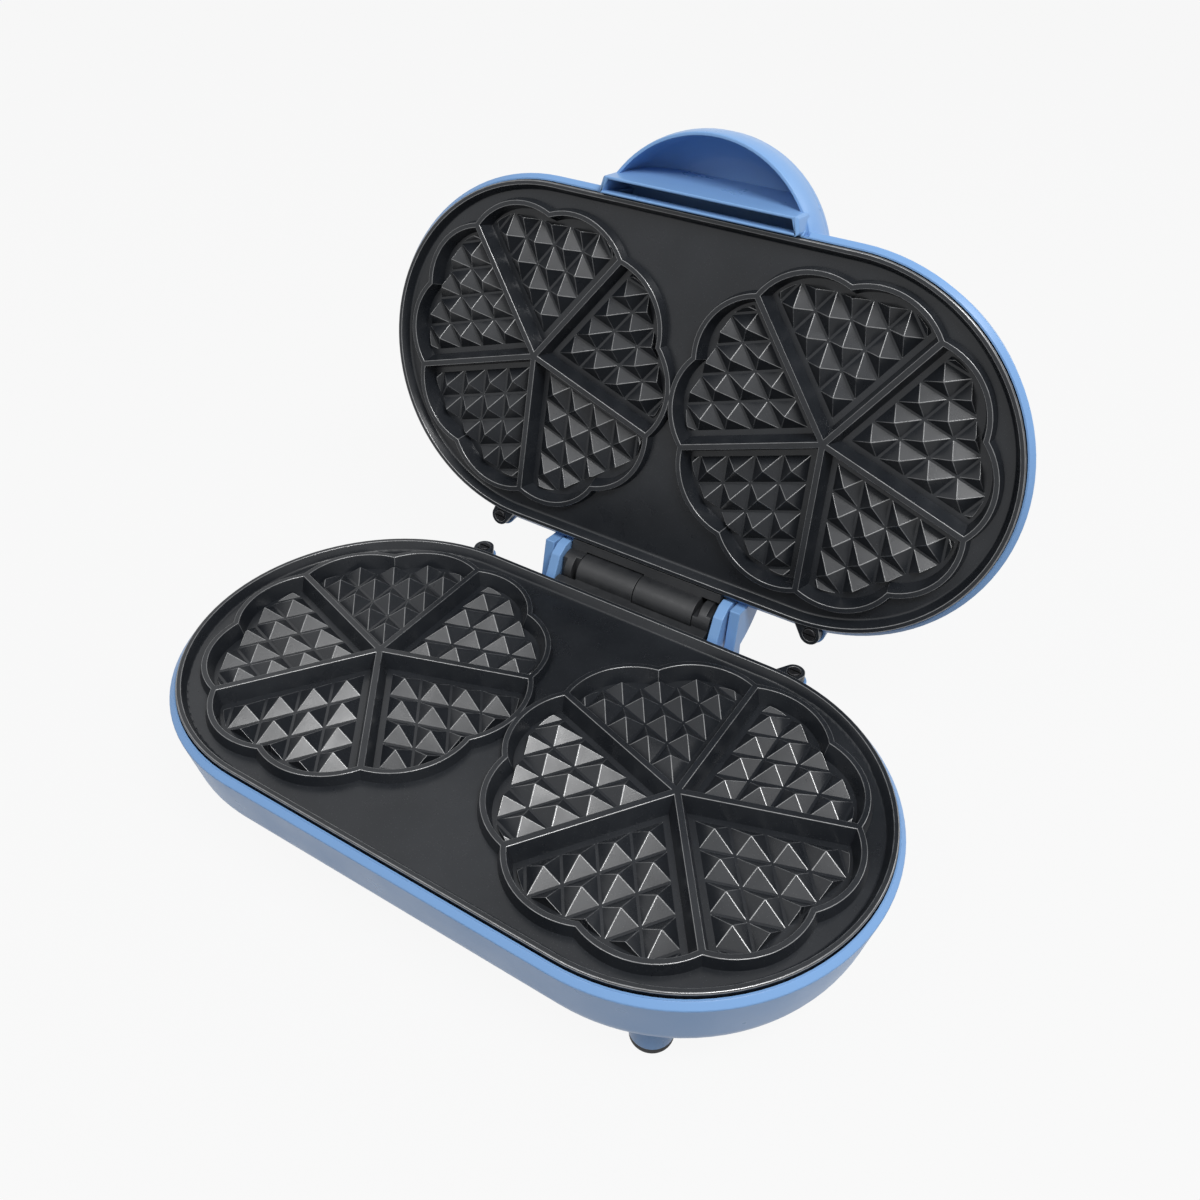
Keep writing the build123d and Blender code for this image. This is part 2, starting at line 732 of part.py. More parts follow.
# Base housing with its legs and the rear tower that carries the hinge
with BuildPart() as base_moulding:
    housing_outside(base_depth)
    for side in (-1, 1):
        leg_top = base_depth - floor_wall - outer_round / 2
        with Locations((side * leg_x, leg_front, leg_top)):
            Cone(
                leg_top_r,
                leg_foot_r,
                foot_depth - leg_top,
                align=(Align.CENTER, Align.CENTER, Align.MIN),
            )
    with BuildSketch(Plane.YZ.offset(-cheek_outer)):
        with BuildLine():
            Polyline(
                (-mould_x, tower_top),
                beside_hinge(tower_back, tower_top),
                beside_hinge(tower_back, foot_depth),
                beside_hinge(-tower_back, foot_depth),
                (-band_r + 2 * outer_round, base_depth - floor_wall),
                close=True,
            )
        make_face()
    extrude(amount=2 * cheek_outer)
    # Cheeks beside the hinge, whose tops stop the open lid
    wall_inside = band_r - (tower_top - band_depth) * draft - shell_wall / 2
    for start in (-cheek_outer, cheek_inner):
        with BuildSketch(Plane.YZ.offset(start)):
            with BuildLine():
                Polyline(
                    beside_hinge(-block_front, block_top),
                    beside_hinge(-cheek_nose_front, -cheek_nose_height),
                    beside_hinge(-cheek_brow_front, -cheek_brow_height),
                    beside_hinge(cheek_crest_back, -cheek_crest_height),
                    beside_hinge(cheek_dip_back, -cheek_dip_height),
                    beside_hinge(cheek_heel_back, -cheek_heel_height),
                    beside_hinge(tower_back, -cheek_nose_height),
                    beside_hinge(tower_back, tower_top),
                    (-wall_inside, tower_top),
                    (-band_r + shell_wall / 2, band_depth),
                    close=True,
                )
            make_face()
        extrude(amount=cheek_thickness)
    housing_inside(base_depth)
    # Room for the wiring inside the tower
    with BuildSketch(Plane.YZ.offset(-cheek_inner)):
        with BuildLine():
            Polyline(
                (-tower_room_front, tower_top + tower_wall),
                beside_hinge(tower_back - tower_wall, tower_top + tower_wall),
                beside_hinge(tower_back - tower_wall, tower_floor),
                beside_hinge(tower_wall - tower_back, tower_floor),
                (-tower_room_front, tower_room_depth),
                close=True,
            )
        make_face()
    extrude(amount=2 * cheek_inner, mode=Mode.SUBTRACT)
    # Hole for the cord gland
    with Locations(Plane(origin=gland_spot, x_dir=(1, 0, 0), z_dir=(0, -1, 0))):
        Cylinder(gland_r + pin_fit, 3 * tower_wall, mode=Mode.SUBTRACT)
    # Pillars of the cord clamp, and holes for the terminal block and the foot pads
    for spot in clamp_spots:
        with Locations(spot):
            Cylinder(
                clamp_pillar_r,
                tower_floor - clamp_pillar_top + fine_gap,
                align=(Align.CENTER, Align.CENTER, Align.MIN),
            )
            Cylinder(
                screw_r + thread_fit,
                clamp_screw_length,
                align=(Align.CENTER, Align.CENTER, Align.MIN),
                mode=Mode.SUBTRACT,
            )
    for spot in block_foot_spots:
        with Locations(spot):
            Cylinder(
                screw_r + thread_fit,
                tower_wall - seat_gap,
                align=(Align.CENTER, Align.CENTER, Align.MIN),
                mode=Mode.SUBTRACT,
            )
    for spot in pad_spots:
        with Locations(spot):
            Cylinder(
                pad_stud_r + pin_fit,
                pad_stud_length + seat_gap,
                align=(Align.CENTER, Align.CENTER, Align.MAX),
                mode=Mode.SUBTRACT,
            )

with BuildPart(base_face) as base_shell:
    add(base_moulding.part)
base_shell.part.label = "base_shell"
export_step(base_shell.part, "parts/base_shell.step")


# Lid housing with its handle and the ears beside the hinge
def handle_section(inset, depth_edge):
    """Half section of the round handle, about its own centre line."""
    edge_r = handle_r - inset
    belly_r = edge_r + handle_belly
    shoulder_r = edge_r + handle_belly / 2
    top = handle_top_depth - inset
    corner_x = shoulder_r - handle_round * arc_middle
    corner_z = top - (top - handle_shoulder_depth) * arc_middle
    middle = (handle_edge_depth + handle_shoulder_depth) / 2
    Line((0, depth_edge), (edge_r, depth_edge))
    ThreePointArc((edge_r, depth_edge), (belly_r, middle), (shoulder_r, handle_shoulder_depth))
    ThreePointArc(
        (shoulder_r, handle_shoulder_depth), (corner_x, corner_z), (shoulder_r - handle_round, top)
    )
    Line((shoulder_r - handle_round, top), (0, top))
    Line((0, top), (0, depth_edge))


handle_plane = Plane(origin=(0, handle_centre_front, 0), x_dir=(1, 0, 0), z_dir=(0, -1, 0))
handle_axis = Axis((0, handle_centre_front, 0), (0, 0, 1))


def slot_outline(half_width, back, front):
    """Outline in a sketch, with ends that lean in towards the front."""
    Polyline(
        (-half_width, back),
        (-half_width + box_end_slant, front),
        (half_width - box_end_slant, front),
        (half_width, back),
        close=True,
    )


# Box around the slot, whose front slopes down into the recess of the handle
with BuildPart() as slot_box:
    with BuildSketch(Plane.YZ.offset(-box_half_width)):
        with BuildLine():
            Polyline(
                (box_back, box_rim_depth),
                (box_front, box_rim_depth),
                (box_front + box_draft, box_depth),
                (box_back, box_depth),
                close=True,
            )
        make_face()
    extrude(amount=2 * box_half_width)
    with BuildSketch(Plane.XY.offset(box_rim_depth)):
        with BuildLine():
            slot_outline(box_half_width, box_back, box_front + box_draft)
        make_face()
    extrude(amount=box_depth - box_rim_depth, mode=Mode.INTERSECT)
    end_faces = slot_box.faces().filter_by(GeomType.PLANE).sort_by(Axis.X)
    fillet(end_faces[0].edges() + end_faces[-1].edges(), box_end_round)

with BuildPart() as lid_moulding:
    housing_outside(lid_depth)
    with BuildSketch(handle_plane):
        with BuildLine():
            handle_section(0, handle_edge_depth)
        make_face()
    revolve(axis=handle_axis)
    add(slot_box.part)
    for start in (-ear_inner - ear_thickness, ear_inner):
        with BuildSketch(Plane.YZ.offset(start)):
            with BuildLine():
                ThreePointArc(
                    beside_hinge(ear_back, ear_lip_depth),
                    beside_hinge(ear_middle_back, ear_middle_depth),
                    (-ear_wall - ear_root_stand, ear_root_depth),
                )
                Polyline(
                    (-ear_wall - ear_root_stand, ear_root_depth),
                    (-ear_wall + ear_root_sink, ear_root_depth),
                    (-band_r, band_depth),
                    beside_hinge(-ear_front, -ear_drop),
                    beside_hinge(ear_back, -ear_drop),
                    beside_hinge(ear_back, ear_lip_depth),
                )
            make_face()
        extrude(amount=ear_thickness)
    housing_inside(lid_depth)
    # Holes for the lamp lenses and the pillar of the lamp holder
    with Locations((-lamp_x, lamp_front, lid_depth), (lamp_x, lamp_front, lid_depth)):
        Cylinder(lens_r + thread_fit, 3 * floor_wall, mode=Mode.SUBTRACT)
    with Locations((0, lamp_front, holder_depth + holder_height)):
        Cylinder(
            clamp_pillar_r,
            lid_depth - floor_wall / 2 - holder_depth - holder_height,
            align=(Align.CENTER, Align.CENTER, Align.MIN),
        )
        Cylinder(
            screw_r + thread_fit,
            holder_screw_length - holder_height + fine_gap,
            align=(Align.CENTER, Align.CENTER, Align.MIN),
            mode=Mode.SUBTRACT,
        )
    # Notches where the rim stops beside the slot box
    for side in (-1, 1):
        with Locations((side * (box_half_width + rim_notch / 2), box_back, 0)):
            Box(
                rim_notch,
                box_front - box_back,
                handle_edge_depth,
                align=(Align.CENTER, Align.MIN, Align.MIN),
                mode=Mode.SUBTRACT,
            )
    # Slot behind the handle
    with BuildSketch(Plane.XY.offset(box_rim_depth - tool_rise)):
        with BuildLine():
            slot_outline(slot_half_width, slot_back, slot_front)
        make_face()
    extrude(amount=slot_depth - box_rim_depth + tool_rise, mode=Mode.SUBTRACT)
    # Opening from the slot into the dark space behind the plate
    with Locations((0, slot_front, slot_frame)):
        Box(
            2 * (slot_half_width - box_end_slant),
            slot_width + slot_room_back,
            slot_depth - slot_frame,
            align=(Align.CENTER, Align.MAX, Align.MIN),
            mode=Mode.SUBTRACT,
        )
    # Room between the slot and the top of the handle, open to the lid
    with Locations((0, slot_front, box_depth)):
        Box(
            2 * (slot_half_width - handle_wall),
            slot_front - handle_centre_front,
            handle_top_depth - handle_wall - box_depth,
            align=(Align.CENTER, Align.MAX, Align.MIN),
            mode=Mode.SUBTRACT,
        )

# Finger recess under the handle
with BuildPart() as finger_recess:
    with BuildSketch(handle_plane):
        with BuildLine():
            handle_section(handle_wall, handle_edge_depth - tool_rise)
        make_face()
    revolve(axis=handle_axis)
    with BuildSketch(Plane.YZ.offset(-2 * handle_r)):
        slope = box_draft / (box_depth - box_rim_depth)
        with BuildLine():
            Polyline(
                (box_front - tool_rise * slope, box_rim_depth - tool_rise),
                (box_front + (lid_depth - box_rim_depth) * slope, lid_depth),
                (box_front + 2 * handle_r, lid_depth),
                (box_front + 2 * handle_r, box_rim_depth - tool_rise),
                close=True,
            )
        make_face()
    extrude(amount=4 * handle_r, mode=Mode.INTERSECT)

with BuildPart(lid_face) as lid_shell:
    add(lid_moulding.part)
    add(finger_recess.part, mode=Mode.SUBTRACT)
lid_shell.part.label = "lid_shell"
export_step(lid_shell.part, "parts/lid_shell.step")


# Pieces that both halves hold alike, drawn once in moulding coordinates
with BuildPart() as heater:
    end_x = heater_gap_half - heater_bend_r
    bend_depth = heater_depth + heater_bend_r
    bend_in = heater_bend_r * arc_middle
    with BuildLine() as heater_path:
        for side in (-1, 1):
            top = (side * end_x, -heater_loop_r, heater_end_depth)
            bend = (side * end_x, -heater_loop_r, bend_depth)
            middle = (side * (end_x + bend_in), -heater_loop_r, heater_depth + bend_in)
            straight = (side * heater_gap_half, -heater_loop_r, heater_depth)
            turn = (side * mould_x, -heater_loop_r, heater_depth)
            Line(top, bend)
            ThreePointArc(bend, middle, straight)
            Line(straight, turn)
            ThreePointArc(
                turn,
                (side * (mould_x + heater_loop_r), 0, heater_depth),
                (side * mould_x, heater_loop_r, heater_depth),
            )
        Line((-mould_x, heater_loop_r, heater_depth), (mould_x, heater_loop_r, heater_depth))
    with BuildSketch(Plane.XY.offset(heater_end_depth)):
        with Locations((-end_x, -heater_loop_r)):
            Circle(heater_r)
    sweep(path=heater_path.wires()[0])
    with Locations(
        (-end_x, -heater_loop_r, heater_end_depth), (end_x, -heater_loop_r, heater_end_depth)
    ):
        Cylinder(
            heater_pin_r, heater_pin_length, align=(Align.CENTER, Align.CENTER, Align.MIN)
        )

with BuildPart() as clip_bar:
    Box(
        clip_width,
        2 * (boss_offset + boss_r),
        clip_thickness,
        align=(Align.CENTER, Align.CENTER, Align.MIN),
    )
    fillet(clip_bar.edges().filter_by(Axis.Z), boss_r)
    with Locations((0, -boss_offset, 0), (0, boss_offset, 0)):
        Cylinder(screw_r + screw_clearance, 2 * clip_thickness, mode=Mode.SUBTRACT)

with BuildPart() as heater_clips:
    with Locations(Location((0, 0, boss_top))):
        with Locations(clip_spots):
            add(clip_bar.part)

with BuildPart() as clip_screws:
    with Locations(Location((0, 0, boss_top + clip_thickness))):
        with Locations(clip_spots):
            with Locations((0, -boss_offset, 0), (0, boss_offset, 0)):
                add(pan_head_screw(clip_thickness + clip_screw_length))

with BuildPart() as reflector:
    extrude(stadium(reflector_end_r, post_depth - reflector_rim), amount=reflector_rim)
    inner_r = reflector_end_r - reflector_sheet
    extrude(
        stadium(inner_r, post_depth - reflector_rim), amount=reflector_rim, mode=Mode.SUBTRACT
    )
    extrude(stadium(reflector_end_r, post_depth), amount=reflector_sheet)
    with Locations((-end_x, -heater_loop_r, post_depth), (end_x, -heater_loop_r, post_depth)):
        Cylinder(terminal_hole_r, 3 * reflector_sheet, mode=Mode.SUBTRACT)
    with Locations((0, 0, post_depth)):
        Cylinder(thermostat_hole_r, 3 * reflector_sheet, mode=Mode.SUBTRACT)
        with GridLocations(2 * post_x, 2 * post_y, 2, 2):
            Cylinder(screw_r + screw_clearance, 3 * reflector_sheet, mode=Mode.SUBTRACT)

with BuildPart() as reflector_screws:
    with Locations((0, 0, post_depth + reflector_sheet)):
        with GridLocations(2 * post_x, 2 * post_y, 2, 2):
            add(pan_head_screw(reflector_sheet + clip_screw_length))

with BuildPart() as thermostat:
    body_top = pad_bottom + fine_gap
    with Locations((0, 0, body_top)):
        Cylinder(
            thermostat_r, thermostat_height, align=(Align.CENTER, Align.CENTER, Align.MIN)
        )
    with Locations((0, 0, thermostat_flange_depth)):
        Box(
            2 * (thermostat_boss_x + boss_r),
            2 * boss_r,
            thermostat_flange,
            align=(Align.CENTER, Align.CENTER, Align.MIN),
        )
    for side in (-1, 1):
        with Locations((side * thermostat_boss_x, 0, thermostat_flange_depth)):
            Cylinder(screw_r + screw_clearance, 3 * thermostat_flange, mode=Mode.SUBTRACT)
        with Locations((0, side * tab_offset, body_top + thermostat_height)):
            Box(
                tab_width,
                tab_sheet,
                thermostat_tab_height,
                align=(Align.CENTER, Align.CENTER, Align.MIN),
            )

with BuildPart() as thermostat_screws:
    flange_bottom = thermostat_flange_depth + thermostat_flange
    with Locations(
        (-thermostat_boss_x, 0, flange_bottom), (thermostat_boss_x, 0, flange_bottom)
    ):
        add(pan_head_screw(thermostat_flange + clip_screw_length))

with BuildPart() as lug_screws:
    for side in (-1, 1):
        spot = (side * lug_x, -lug_back, lug_top + lug_recess_depth)
        with Locations(Plane(origin=spot, z_dir=(0, 0, -1))):
            add(pan_head_screw(lug_screw_length))

with BuildPart(base_face) as lower_heater:
    add(heater.part)
lower_heater.part.label = "lower_heater"
export_step(lower_heater.part, "parts/lower_heater.step")

with BuildPart(lid_face) as upper_heater:
    add(heater.part)
upper_heater.part.label = "upper_heater"
export_step(upper_heater.part, "parts/upper_heater.step")

with BuildPart(base_face) as lower_heater_clips:
    add(heater_clips.part)
lower_heater_clips.part.label = "lower_heater_clips"
export_step(lower_heater_clips.part, "parts/lower_heater_clips.step")

with BuildPart(lid_face) as upper_heater_clips:
    add(heater_clips.part)
upper_heater_clips.part.label = "upper_heater_clips"
export_step(upper_heater_clips.part, "parts/upper_heater_clips.step")

with BuildPart(base_face) as lower_clip_screws:
    add(clip_screws.part)
lower_clip_screws.part.label = "lower_clip_screws"
export_step(lower_clip_screws.part, "parts/lower_clip_screws.step")

with BuildPart(lid_face) as upper_clip_screws:
    add(clip_screws.part)
upper_clip_screws.part.label = "upper_clip_screws"
export_step(upper_clip_screws.part, "parts/upper_clip_screws.step")

with BuildPart(base_face) as lower_reflector:
    add(reflector.part)
lower_reflector.part.label = "lower_reflector"
export_step(lower_reflector.part, "parts/lower_reflector.step")

with BuildPart(lid_face) as upper_reflector:
    add(reflector.part)
upper_reflector.part.label = "upper_reflector"
export_step(upper_reflector.part, "parts/upper_reflector.step")

with BuildPart(base_face) as lower_reflector_screws:
    add(reflector_screws.part)
lower_reflector_screws.part.label = "lower_reflector_screws"
export_step(lower_reflector_screws.part, "parts/lower_reflector_screws.step")

with BuildPart(lid_face) as upper_reflector_screws:
    add(reflector_screws.part)
upper_reflector_screws.part.label = "upper_reflector_screws"
export_step(upper_reflector_screws.part, "parts/upper_reflector_screws.step")

with BuildPart(base_face) as lower_thermostat:
    add(thermostat.part)
lower_thermostat.part.label = "lower_thermostat"
export_step(lower_thermostat.part, "parts/lower_thermostat.step")

with BuildPart(lid_face) as upper_thermostat:
    add(thermostat.part)
upper_thermostat.part.label = "upper_thermostat"
export_step(upper_thermostat.part, "parts/upper_thermostat.step")

with BuildPart(base_face) as lower_thermostat_screws:
    add(thermostat_screws.part)
lower_thermostat_screws.part.label = "lower_thermostat_screws"
export_step(lower_thermostat_screws.part, "parts/lower_thermostat_screws.step")

with BuildPart(lid_face) as upper_thermostat_screws:
    add(thermostat_screws.part)
upper_thermostat_screws.part.label = "upper_thermostat_screws"
export_step(upper_thermostat_screws.part, "parts/upper_thermostat_screws.step")

with BuildPart(base_face) as lower_lug_screws:
    add(lug_screws.part)
lower_lug_screws.part.label = "lower_lug_screws"
export_step(lower_lug_screws.part, "parts/lower_lug_screws.step")

with BuildPart(lid_face) as upper_lug_screws:
    add(lug_screws.part)
upper_lug_screws.part.label = "upper_lug_screws"
export_step(upper_lug_screws.part, "parts/upper_lug_screws.step")


# Rubber foot pads under the legs and the tower
with BuildPart(base_face) as foot_pads:
    with Locations(*pad_spots):
        Cylinder(
            leg_foot_r - seat_gap, pad_height, align=(Align.CENTER, Align.CENTER, Align.MIN)
        )
        Cylinder(pad_stud_r, pad_stud_length, align=(Align.CENTER, Align.CENTER, Align.MAX))
    pad_rims = foot_pads.faces().sort_by(Axis.Z)[: len(pad_spots)].edges()
    chamfer(pad_rims, pad_chamfer)
foot_pads.part.label = "foot_pads"
export_step(foot_pads.part, "parts/foot_pads.step")

# Cord gland in the back of the tower, with its nut inside
with BuildPart() as gland_turned:
    with Locations(Plane(origin=gland_spot, x_dir=(1, 0, 0), z_dir=(0, -1, 0))):
        Cylinder(gland_flange_r, gland_flange, align=(Align.CENTER, Align.CENTER, Align.MIN))
        Cylinder(
            gland_r,
            tower_wall + gland_nut_height + seat_gap,
            align=(Align.CENTER, Align.CENTER, Align.MAX),
        )
        Cylinder(gland_bore_r, 6 * tower_wall, mode=Mode.SUBTRACT)

with BuildPart(base_face) as cord_gland:
    add(gland_turned.part)
cord_gland.part.label = "cord_gland"
export_step(cord_gland.part, "parts/cord_gland.step")

with BuildPart() as nut_turned:
    nut_y = -(hinge_back + tower_back - tower_wall)
    with BuildSketch(Plane(origin=(0, nut_y, gland_depth), x_dir=(1, 0, 0), z_dir=(0, 1, 0))):
        RegularPolygon(gland_flange_r, 6)
        Circle(gland_r + thread_fit, mode=Mode.SUBTRACT)
    extrude(amount=gland_nut_height)

with BuildPart(base_face) as gland_nut:
    add(nut_turned.part)
gland_nut.part.label = "gland_nut"
export_step(gland_nut.part, "parts/gland_nut.step")

# Clamp bar over the place where the cord comes in
with BuildPart() as clamp_drawn:
    with Locations((0, -(hinge_back + clamp_back), clamp_pillar_top)):
        Box(
            clamp_width,
            clamp_depth,
            clamp_height,
            align=(Align.CENTER, Align.CENTER, Align.MAX),
        )
    fillet(clamp_drawn.edges().filter_by(Axis.Z), clamp_round)
    for spot in clamp_spots:
        with Locations(spot):
            Cylinder(screw_r + screw_clearance, 3 * clamp_height, mode=Mode.SUBTRACT)

with BuildPart(base_face) as cord_clamp:
    add(clamp_drawn.part)
cord_clamp.part.label = "cord_clamp"
export_step(cord_clamp.part, "parts/cord_clamp.step")

with BuildPart(base_face) as clamp_screws:
    for spot in clamp_spots:
        head = (spot[0], spot[1], spot[2] - clamp_height)
        with Locations(Plane(origin=head, z_dir=(0, 0, -1))):
            add(pan_head_screw(clamp_screw_length + clamp_height - seat_gap))
clamp_screws.part.label = "clamp_screws"
export_step(clamp_screws.part, "parts/clamp_screws.step")

# Terminal block on the floor of the tower
with BuildPart() as block_drawn:
    with Locations((0, block_y, tower_floor)):
        Box(
            block_poles * block_pole_pitch,
            terminal_block_depth,
            terminal_block_height,
            align=(Align.CENTER, Align.CENTER, Align.MAX),
        )
        Box(
            2 * block_foot_x + terminal_foot_length,
            terminal_block_depth,
            terminal_foot_height,
            align=(Align.CENTER, Align.CENTER, Align.MAX),
        )
    bore_depth = tower_floor - terminal_block_height / 2
    pole_xs = [(pole - (block_poles - 1) / 2) * block_pole_pitch for pole in range(block_poles)]
    for pole_x in pole_xs:
        with Locations(Location((pole_x, block_y, bore_depth), (90, 0, 0))):
            Cylinder(terminal_bore_r, 2 * terminal_block_depth, mode=Mode.SUBTRACT)
        with Locations((pole_x, block_y, tower_floor - terminal_block_height)):
            Cylinder(
                screw_r + thread_fit,
                terminal_screw_length,
                align=(Align.CENTER, Align.CENTER, Align.MIN),
                mode=Mode.SUBTRACT,
            )
    for spot in block_foot_spots:
        with Locations(spot):
            Cylinder(screw_r + screw_clearance, 3 * terminal_foot_height, mode=Mode.SUBTRACT)

with BuildPart(base_face) as terminal_block:
    add(block_drawn.part)
terminal_block.part.label = "terminal_block"
export_step(terminal_block.part, "parts/terminal_block.step")

with BuildPart(base_face) as terminal_screws:
    for pole_x in pole_xs:
        head = (pole_x, block_y, tower_floor - terminal_block_height)
        with Locations(Plane(origin=head, z_dir=(0, 0, -1))):
            add(pan_head_screw(terminal_screw_length - fine_gap))
    for spot in block_foot_spots:
        head = (spot[0], spot[1], spot[2] - terminal_foot_height)
        with Locations(Plane(origin=head, z_dir=(0, 0, -1))):
            add(pan_head_screw(terminal_foot_height + tower_wall - 2 * seat_gap))
terminal_screws.part.label = "terminal_screws"
export_step(terminal_screws.part, "parts/terminal_screws.step")


def lead(*points):
    """Insulated lead with round bends, smaller where a run is short."""
    runs = [Vector(end) - Vector(start) for start, end in zip(points, points[1:])]
    radii = []
    for before, after in zip(runs, runs[1:]):
        half_turn = radians(before.get_angle(after)) / 2
        room = lead_bend_share * min(before.length, after.length)
        radii.append(min(lead_bend, room / tan(half_turn)))
    with BuildPart() as wire:
        with BuildLine() as route:
            if len(points) == 2:
                Line(*points)
            else:
                FilletPolyline(*points, radius=radii)
        with BuildSketch(Plane(origin=route.line @ 0, z_dir=route.line % 0)):
            Circle(lead_r)
        sweep(path=route.line)
    return wire.part


# Leads inside the base, from the terminal block to the fuse, thermostat and earth
bore_start = block_y + terminal_block_depth / 4
bore_end = block_y + terminal_block_depth / 2 + seat_gap
lead_depth = heater_end_depth + heater_pin_length / 2
pin_side = heater_pin_r + lead_r + fine_gap
rise_y = -(tower_room_front + lead_bend)
tab_depth = body_top + thermostat_height + thermostat_tab_height - lead_r
earth_depth = post_depth + reflector_sheet + screw_head_height + fine_gap + lead_r
tab_face = tab_offset + tab_sheet / 2 + fine_gap
fuse_back = -(heater_loop_r + heater_bend_r + fuse_length)
fuse_front = fuse_back + fuse_length
fuse_x = pole_xs[0]
base_lead_parts = (
    lead(
        (fuse_x, bore_start, bore_depth),
        (fuse_x, bore_end, bore_depth),
        (fuse_x, rise_y - lead_bend, lead_depth),
        (fuse_x, fuse_back - fine_gap, lead_depth),
    ),
    lead(
        (fuse_x, fuse_front + lead_r, lead_depth),
        (-end_x, -heater_loop_r - pin_side, lead_depth),
    ),
    lead(
        (pole_xs[2], bore_start, bore_depth),
        (pole_xs[2], bore_end, bore_depth),
        (pole_xs[2], rise_y, lead_depth),
        (pole_xs[2], -2 * thermostat_hole_r, lead_depth),
        (0, -thermostat_hole_r, tab_depth),
        (0, -tab_face, tab_depth),
    ),
    lead(
        (0, tab_face, tab_depth),
        (0, thermostat_hole_r, tab_depth),
        (2 * thermostat_hole_r, thermostat_hole_r, lead_depth),
        (2 * thermostat_hole_r, -heater_loop_r, lead_depth),
        (end_x + pin_side, -heater_loop_r, lead_depth),
    ),
    lead(
        (0, bore_start, bore_depth),
        (0, bore_end, bore_depth),
        (0, rise_y, lead_depth),
        (0, -heater_loop_r + heater_bend_r, lead_depth),
        (-post_x, -post_y, earth_depth),
    ),
)
with BuildPart(base_face) as base_leads:
    add(base_lead_parts)
base_leads.part.label = "base_leads"
export_step(base_leads.part, "parts/base_leads.step")

with BuildPart() as fuse_drawn:
    with Locations(Location((fuse_x, fuse_back, lead_depth), (-90, 0, 0))):
        Cylinder(fuse_r, fuse_length, align=(Align.CENTER, Align.CENTER, Align.MIN))
    chamfer(fuse_drawn.edges().filter_by(GeomType.CIRCLE), fuse_chamfer)

with BuildPart(base_face) as thermal_fuse:
    add(fuse_drawn.part)
thermal_fuse.part.label = "thermal_fuse"
export_step(thermal_fuse.part, "parts/thermal_fuse.step")

# Lamps, their lenses and holder in the top of the lid
lens_bottom = lid_depth - floor_wall
with BuildPart() as lens_drawn:
    with Locations((-lamp_x, lamp_front, lens_bottom), (lamp_x, lamp_front, lens_bottom)):
        Cylinder(
            lens_r, floor_wall + lens_rise, align=(Align.CENTER, Align.CENTER, Align.MIN)
        )
        Cylinder(
            lens_flange_r, lens_rise / 2, align=(Align.CENTER, Align.CENTER, Align.MAX)
        )
    dome_edges = lens_drawn.edges().group_by(Axis.Z)[-1]
    fillet(dome_edges, lens_round)

with BuildPart(lid_face) as lamp_lenses:
    add(lens_drawn.part)
lamp_lenses.part.label = "lamp_lenses"
export_step(lamp_lenses.part, "parts/lamp_lenses.step")

with BuildPart() as lamp_drawn:
    lamp_bottom = lens_bottom - lens_rise / 2 - seat_gap
    with Locations((-lamp_x, lamp_front, lamp_bottom), (lamp_x, lamp_front, lamp_bottom)):
        Cylinder(lamp_r, lamp_length, align=(Align.CENTER, Align.CENTER, Align.MAX))
    fillet(lamp_drawn.edges().group_by(Axis.Z)[-1], lamp_round)

with BuildPart(lid_face) as pilot_lamps:
    add(lamp_drawn.part)
pilot_lamps.part.label = "pilot_lamps"
export_step(pilot_lamps.part, "parts/pilot_lamps.step")

with BuildPart() as holder_drawn:
    with Locations((0, lamp_front, holder_depth)):
        Box(
            holder_width,
            holder_length,
            holder_height,
            align=(Align.CENTER, Align.CENTER, Align.MIN),
        )
        Cylinder(screw_r + screw_clearance, 3 * holder_height, mode=Mode.SUBTRACT)
    fillet(holder_drawn.edges().filter_by(Axis.Z), holder_height)
    with Locations((-lamp_x, lamp_front, holder_depth), (lamp_x, lamp_front, holder_depth)):
        Cylinder(lamp_r + pin_fit, 3 * holder_height, mode=Mode.SUBTRACT)

with BuildPart(lid_face) as lamp_holder:
    add(holder_drawn.part)
lamp_holder.part.label = "lamp_holder"
export_step(lamp_holder.part, "parts/lamp_holder.step")

with BuildPart(lid_face) as holder_screw:
    with Locations(Plane(origin=(0, lamp_front, holder_depth), z_dir=(0, 0, -1))):
        add(pan_head_screw(holder_screw_length))
holder_screw.part.label = "holder_screw"
export_step(holder_screw.part, "parts/holder_screw.step")

# Leads inside the lid, from the thermostat to the element and on to the lamps
lamp_end = lamp_bottom - lamp_length + lead_r
lid_lead_parts = (
    lead(
        (0, -tab_face, tab_depth),
        (0, -thermostat_hole_r, tab_depth),
        (-end_x, -2 * thermostat_hole_r, lead_depth),
        (-end_x, -heater_loop_r + pin_side, lead_depth),
    ),
    lead(
        (0, tab_face, tab_depth),
        (0, thermostat_hole_r, tab_depth),
        (-lamp_x, 2 * thermostat_hole_r, lamp_end),
        (-lamp_x, lamp_front - lamp_r - fine_gap, lamp_end),
    ),
    lead(
        (end_x, -heater_loop_r + pin_side, lead_depth),
        (end_x, -2 * thermostat_hole_r, lead_depth),
        (2 * thermostat_hole_r, 0, lead_depth),
        (lamp_x, 2 * thermostat_hole_r, lamp_end),
        (lamp_x, lamp_front - lamp_r - fine_gap, lamp_end),
    ),
)
with BuildPart(lid_face) as lid_leads:
    add(lid_lead_parts)
lid_leads.part.label = "lid_leads"
export_step(lid_leads.part, "parts/lid_leads.step")
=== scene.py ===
from math import pi, radians

import bmesh
import bpy
from mathutils import Matrix, Vector


